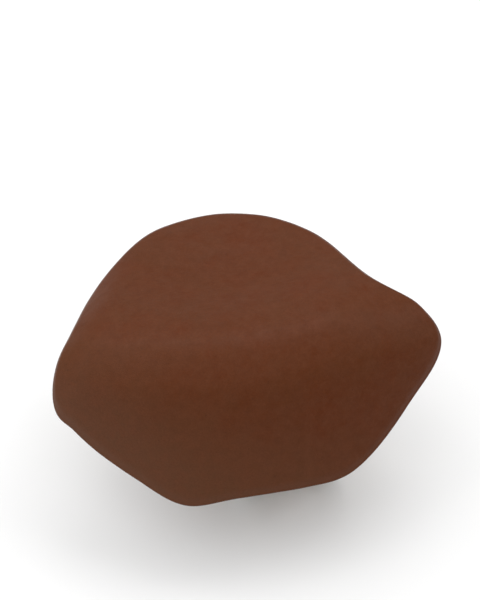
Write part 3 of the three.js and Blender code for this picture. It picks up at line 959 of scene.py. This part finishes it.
def lower_bar_section():
    """The bent bar's section as [y, z] points: flat under the cork, then up to the studs."""
    outer = LOWER_BAR_BEND + LOWER_BAR
    leg_front = STUD_Y - LOWER_BAR / 2
    bend_y = leg_front + outer
    bend_z = lower_bar_top - LOWER_BAR + outer
    turns = [math.radians(270 - 90 * i / BEND_STEPS) for i in range(BEND_STEPS + 1)]
    outside = [(bend_y + outer * math.cos(a), bend_z + outer * math.sin(a)) for a in turns]
    inside = [(bend_y + LOWER_BAR_BEND * math.cos(a), bend_z + LOWER_BAR_BEND * math.sin(a))
              for a in reversed(turns)]
    leg_top = BOSS_BASE + LEG_INTO_BOSS
    return ([(LOWER_BAR_BACK, lower_bar_top - LOWER_BAR), *outside, (leg_front, leg_top),
             (leg_front + LOWER_BAR, leg_top), *inside, (LOWER_BAR_BACK, lower_bar_top)])


def make_lower_bar():
    """The bent bar, cut to its plan and between its tabs, with a socket in each boss."""
    section = lower_bar_section()
    count, half = len(section), BAR_WIDTH / 2
    points = [(-half, y, z) for y, z in section] + [(half, y, z) for y, z in section]
    faces = [tuple(range(count)), tuple(reversed(range(count, 2 * count)))]
    faces += [(count + i, count + (i + 1) % count, (i + 1) % count, i) for i in range(count)]
    piece = mesh_object("lower_bar", points, faces)
    face_out(piece)
    low, high = lower_bar_top - LOWER_BAR - OVERSHOOT, BOSS_TOP + OVERSHOOT
    plan = rounded_rectangle(BAR_WIDTH, PLAN_FRONT, LOWER_BAR_BACK, LOWER_BAR_CORNER)
    combine(piece, [prism("plan", plan, low, high)], "INTERSECT")
    combine(piece, [between_tabs(LEG_CUT_FRONT, FOOT_FRONT, low, high)], "DIFFERENCE")
    bevel(piece, LOWER_BAR_EDGE)
    boss = [(0, BOSS_BASE), (BOSS_RADIUS - 0.5, BOSS_BASE), (BOSS_RADIUS, BOSS_BASE + 0.5),
            (BOSS_RADIUS, BOSS_TOP - 0.35), (BOSS_RADIUS - 0.35, BOSS_TOP), (0, BOSS_TOP)]
    combine(piece, [lathe("boss", boss, x, STUD_Y) for x in STUDS.values()], "UNION")
    bore = STUD_RADIUS + SOCKET_CLEARANCE
    socket = [(0, BOSS_BASE + GAP), (bore, BOSS_BASE + GAP), (bore, BOSS_TOP - 0.25),
              (STUD_RADIUS + 0.5, BOSS_TOP + 0.13), (STUD_RADIUS + 0.5, high), (0, high)]
    combine(piece, [lathe("socket", socket, x, STUD_Y) for x in STUDS.values()], "DIFFERENCE")
    drop_slivers(piece)
    sharpen(piece)
    return finish_piece(piece, "nickel", "nickel", "jaw", "lower_clamp_bar")


THREAD_PITCH, SCREW_PITCH = 0.7, 1.1
RIGHT_HAND, LEFT_HAND = 1, -1


def make_upper_stud(side, x):
    head_base = upper_bar_top + GAP
    rod = thread(f"upper_stud_rod_{side}", x, STUD_Y, barrel_top - STUD_IN_BARREL, head_base + 0.2,
                 STUD_RADIUS, THREAD_PITCH, RIGHT_HAND, blunt_base=0.5)
    head = lathe("head", [(0, head_base), (STUD_HEAD - 0.15, head_base),
                          (STUD_HEAD, head_base + 0.15), (STUD_HEAD, head_base + 0.55),
                          (2.3, head_base + 0.9),
                          (1.5, head_base + STUD_HEAD_HEIGHT - 0.05),
                          (0, head_base + STUD_HEAD_HEIGHT)], x, STUD_Y, TURNED_SECTORS)
    face_out(head)
    piece = combine(rod, [head], "UNION")
    drop_slivers(piece)
    sharpen(piece, 50)
    return finish_piece(piece, "steel", "steel", "root", f"upper_stud_{side}")


def make_lower_stud(side, x):
    piece = thread(f"lower_stud_rod_{side}", x, STUD_Y, BOSS_BASE + 2 * GAP,
                   barrel_base + STUD_IN_BARREL, STUD_RADIUS, THREAD_PITCH, LEFT_HAND,
                   blunt_top=0.5)
    sharpen(piece, 50)
    return finish_piece(piece, "steel", "steel", "jaw", f"lower_stud_{side}")


def make_barrel(side, x):
    """A threaded sleeve with collars, waisted between them, and crossed holes for the key."""
    radius, bore, waist = BARREL_RADIUS, STUD_RADIUS + GAP, BARREL_RADIUS - 0.3
    low, high, collar = barrel_base, barrel_top, BARREL_COLLAR
    profile = [(bore, low + 0.3), (bore + 0.3, low), (radius - 0.35, low),
               (radius - 0.1, low + 0.1), (radius, low + 0.35),
               (radius, low + collar - 0.15), (radius - 0.08, low + collar),
               (waist, low + collar + 0.35), (waist, high - collar - 0.35),
               (radius - 0.08, high - collar), (radius, high - collar + 0.15),
               (radius, high - 0.35), (radius - 0.1, high - 0.1), (radius - 0.35, high),
               (bore + 0.3, high), (bore, high - 0.3)]
    piece = lathe(f"barrel_sleeve_{side}", profile, x, STUD_Y, BARREL_SECTORS)
    face_out(piece)
    tools = []
    for turn, z in ((0, BARREL_MIDDLE + KEY_HOLE_OFFSET), (90, BARREL_MIDDLE - KEY_HOLE_OFFSET)):
        hole = prism("hole", circle(0, 0, KEY_HOLE, KEY_HOLE_SECTORS),
                     -KEY_HOLE_REACH, KEY_HOLE_REACH)
        hole.rotation_euler = (math.radians(90), 0, math.radians(turn))
        hole.location = Vector((x, STUD_Y, z)) * MM
        bpy.context.view_layer.update()
        tools.append(hole)
    combine(piece, tools, "DIFFERENCE")
    bevel(piece, BARREL_EDGE, degrees=50)
    sharpen(piece)
    return finish_piece(piece, "nickel", "nickel", f"barrel_{side}", f"barrel_{side}")


def make_screw(side, x):
    """A slotted countersunk wood screw, point up in the foot."""
    base = foot_base + GAP / 3
    rod = thread(f"wood_screw_{side}", x, SCREW_Y, base + SCREW_CONE, base + SCREW_LENGTH,
                 SCREW_SHANK, SCREW_PITCH, RIGHT_HAND, blunt_top=SCREW_BLUNT)
    neck = base + SCREW_NECK
    head = lathe("head", [(0, base), (SCREW_HEAD - 0.1, base), (SCREW_HEAD, base + 0.15),
                          (SCREW_SHANK - 0.1, base + SCREW_CONE), (SCREW_SHANK - 0.3, neck),
                          (0, neck)], x, SCREW_Y, TURNED_SECTORS)
    face_out(head)
    piece = combine(rod, [head], "UNION")
    slot = box("slot", (x - SLOT_REACH, SCREW_Y - SLOT_HALF_WIDTH, base - OVERSHOOT),
               (x + SLOT_REACH, SCREW_Y + SLOT_HALF_WIDTH, base + SLOT_DEPTH))
    combine(piece, [slot], "DIFFERENCE")
    drop_slivers(piece)
    sharpen(piece, 50)
    return finish_piece(piece, "steel", "steel", "root", f"bar_screw_{side}")


# --- Stage ---

FLOOR_SIZE = 3.0      # metres
FLOOR_THICKNESS = 10
FLOOR_BELOW = 4.3     # under the clamp at rest, so that the opened jaw still clears the floor
FLOOR_COLOUR = (0.86, 0.86, 0.86, 1)
LIGHTS_AIM = Vector((0, 0.02, 0))
# Each light's place in metres, its width and height, and its power in watts.
LIGHTS = {
    "back_light": ((-0.15, 0.52, 1.00), (0.8, 0.6), 2.0),
    "low_back_light": ((-0.10, 0.75, 0.80), (1.0, 0.4), 1.0),
    "left_back_light": ((-0.60, 0.50, 0.85), (0.6, 0.6), 1.0),
    "sky_light": ((0.35, 0.30, 1.00), (0.8, 0.6), 3.0),
    "right_light": ((0.85, -0.10, 0.75), (0.6, 0.6), 2.0),
    "left_light": ((-1.00, -0.38, 0.20), (0.7, 0.4), 1.0),
    "high_left_light": ((-0.90, 0.05, 0.65), (0.6, 0.6), 1.5),
    "overhead_light": ((-0.45, -0.10, 1.05), (0.6, 0.6), 1.5),
    "top_light": ((-0.10, -0.60, 1.00), (0.8, 0.5), 1.0),
}
WORLD_STRENGTH = 0.58


def make_floor():
    made, _, shader = material("floor", Roughness=0.8, Specular_IOR_Level=0.2)
    shader.inputs["Base Color"].default_value = FLOOR_COLOUR
    half = FLOOR_SIZE / 2 / MM
    low = cad_low.z / MM - FLOOR_BELOW
    floor = box("floor", (-half, -half, low - FLOOR_THICKNESS), (half, half, low))
    floor.data.materials.append(made)


def make_lights():
    for name, (place, size, power) in LIGHTS.items():
        data = bpy.data.lights.new(name, "AREA")
        data.shape = "RECTANGLE"
        data.size, data.size_y = size
        data.energy = power
        lamp = bpy.data.objects.new(name, data)
        lamp.location = place
        aim = LIGHTS_AIM - Vector(place)
        lamp.rotation_euler = aim.to_track_quat("-Z", "Y").to_euler()
        bpy.context.collection.objects.link(lamp)
    world = bpy.data.worlds.new("studio")
    world.use_nodes = True
    sky = world.node_tree.nodes["Background"].inputs
    sky["Color"].default_value = (1, 1, 1, 1)
    sky["Strength"].default_value = WORLD_STRENGTH
    bpy.context.scene.world = world
    bpy.context.scene.view_settings.view_transform = "Standard"


# --- Assembly ---

make_floor()
make_lights()
sag = hang_margin()
leather = make_leather(sag)
padding = make_foam(sag)
lining = make_lining(sag)
for side, place in TAPE_PLACES.items():
    make_tape(side, place, "loop", loop_depth, "cover")
    make_tape(side, place, "hook", hook_depth, "root")
make_plate()
make_cork("upper_cork")
make_cork("lower_cork")
make_upper_bar()
make_lower_bar()
for side, x in STUDS.items():
    make_upper_stud(side, x)
    make_barrel(side, x)
    make_lower_stud(side, x)
for side, x in SCREWS.items():
    make_screw(side, x)
